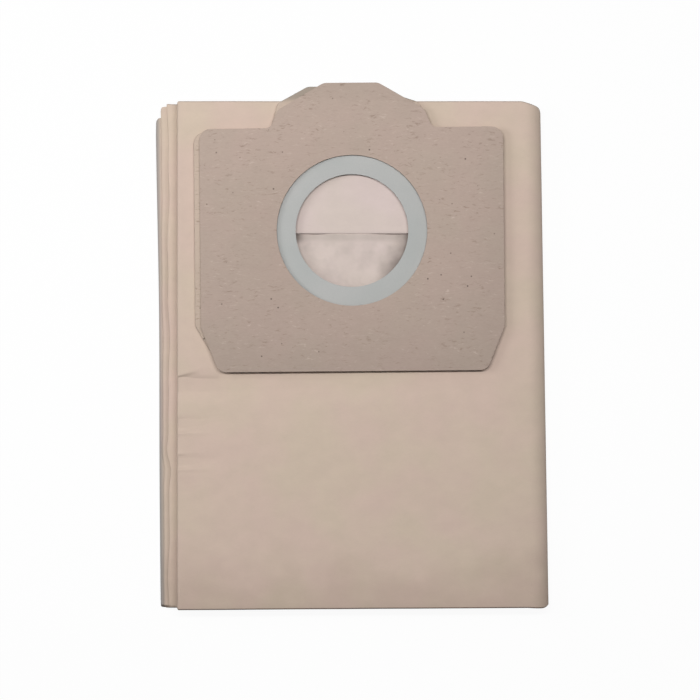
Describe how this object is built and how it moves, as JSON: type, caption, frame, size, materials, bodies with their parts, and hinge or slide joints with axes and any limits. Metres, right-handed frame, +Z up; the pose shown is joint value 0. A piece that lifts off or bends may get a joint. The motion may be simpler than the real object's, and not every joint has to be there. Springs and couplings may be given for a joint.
{
  "type": "vacuum dust bag",
  "caption": "Folded two-ply paper dust bag for a vacuum cleaner, with a stiff board collar, a pull tab and a rubber seal round its mouth.",
  "frame": {"origin": "bottom centre of the bounding box, on the surface that the folded bag lies on", "axes": "+X across the bag from the sharp crease to the soft fold, +Y towards the collar's pull tab, +Z up, out of the collar's face"},
  "size_m": [0.1706, 0.2264, 0.0148],
  "materials": {
    "outer_paper": "matte tan kraft paper",
    "inner_paper": "matte, soft, pale pinkish filter paper",
    "backing_board": "matte grey-brown fibreboard",
    "seal_rubber": "smooth satin light grey sheet rubber",
    "front_board": "matte grey-brown fibreboard with fine fibre specks"
  },
  "bodies": {
    "root": {"outer_paper": "outer_paper", "inner_paper": "inner_paper", "backing_board": "backing_board", "seal_membrane": "seal_rubber", "front_board": "front_board"}
  },
  "joints": []
}
